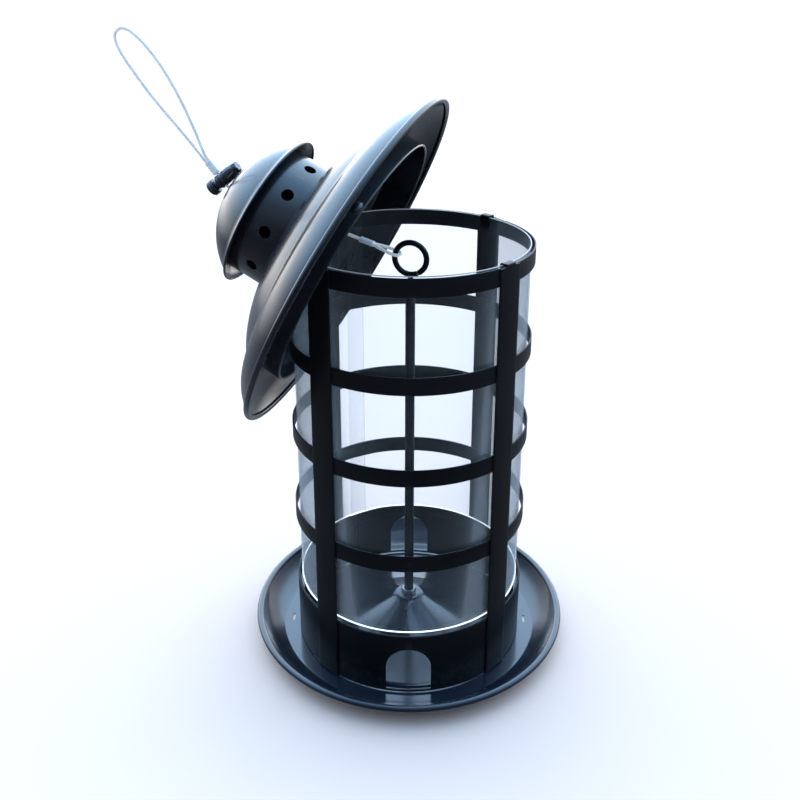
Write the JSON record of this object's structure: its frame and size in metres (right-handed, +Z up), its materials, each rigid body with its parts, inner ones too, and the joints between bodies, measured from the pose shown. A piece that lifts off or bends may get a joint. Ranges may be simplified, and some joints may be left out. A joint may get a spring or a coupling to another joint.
{
  "type": "hanging lantern bird feeder",
  "caption": "Hanging lantern bird feeder with a round strap cage, clear seed tube, rimmed tray and a vented lid leaning open on its wire rope.",
  "frame": {"origin": "centre of the tray's underside, on the cage's axis", "axes": "+Z up along the cage and the rod, front port towards -Y, lid leaning open towards -X"},
  "size_m": [0.3295, 0.2586, 0.4502],
  "materials": {
    "black_steel": "satin powder coat",
    "roof_steel": "satin powder coat",
    "clear_sheet": "clear rolled plastic sheet",
    "zinc_steel": "zinc plated",
    "wire_rope": "galvanised strands",
    "aluminium_ferrule": "pressed",
    "black_rubber": "matt",
    "black_plastic": "moulded, ribbed"
  },
  "bodies": {
    "base": {"seed_tray": "black_steel", "seed_cone": "black_steel", "port_band": "black_steel", "lower_hoop": "black_steel", "lower_middle_hoop": "black_steel", "upper_middle_hoop": "black_steel", "top_hoop": "black_steel", "upright_front_right": "black_steel", "upright_back_right": "black_steel", "upright_back_left": "black_steel", "upright_front_left": "black_steel", "seed_tube": "clear_sheet", "centre_rod": "black_steel", "eye_ring": "black_steel", "ring_jam_nut": "black_steel", "cone_washer": "black_steel", "cone_nut": "zinc_steel", "base_washer": "zinc_steel", "base_wing_nut": "zinc_steel"},
    "cable": {"cable_eye": "wire_rope", "lower_ferrule": "aluminium_ferrule", "cable_strand": "wire_rope", "upper_ferrule": "aluminium_ferrule", "hanging_loop": "wire_rope"},
    "slider": {"cable_grommet": "black_rubber"},
    "lid": {"roof": "roof_steel", "locating_collar": "roof_steel", "vent_collar": "roof_steel", "top_cap": "roof_steel"},
    "lock": {"lock_body": "black_plastic", "lock_spring": "zinc_steel"},
    "button": {"lock_button": "black_plastic"}
  },
  "joints": [
    {"name": "cable_swing", "type": "hinge", "parent": "base", "child": "cable", "pos_m": [0, 0, 0.299], "axis": [0.2756, 0.9613, 0], "range_deg": [0, 73.16], "deforming": ["cable_strand"]},
    {"name": "lid_slide", "type": "slide", "parent": "cable", "child": "slider", "axis": [-0.92, 0.2638, 0.2898], "range_m": [-0.03315, 0.0005]},
    {"name": "lid_tilt", "type": "hinge", "parent": "slider", "child": "lid", "pos_m": [-0.12756, 0.03658, 0.33918], "axis": [0.2756, 0.9613, 0], "range_deg": [-10.96, 0.3]},
    {"name": "lock_tilt", "type": "hinge", "parent": "slider", "child": "lock", "pos_m": [-0.13129, 0.03765, 0.34035], "axis": [0.2756, 0.9613, 0], "range_deg": [-33.16, 0.5]},
    {"name": "button_press", "type": "slide", "parent": "lock", "child": "button", "axis": [0.7309, -0.2096, 0.6494], "range_m": [0, 0.003], "stiffness_N_per_m": 600, "springref_m": -0.004, "deforming": ["lock_spring"]}
  ],
  "couplings": [
    {"joint": "lid_slide", "follows": "cable_swing", "m_per_rad": -0.025571},
    {"joint": "lid_tilt", "follows": "cable_swing", "ratio": -0.14567},
    {"joint": "lock_tilt", "follows": "cable_swing", "ratio": -0.44639}
  ]
}
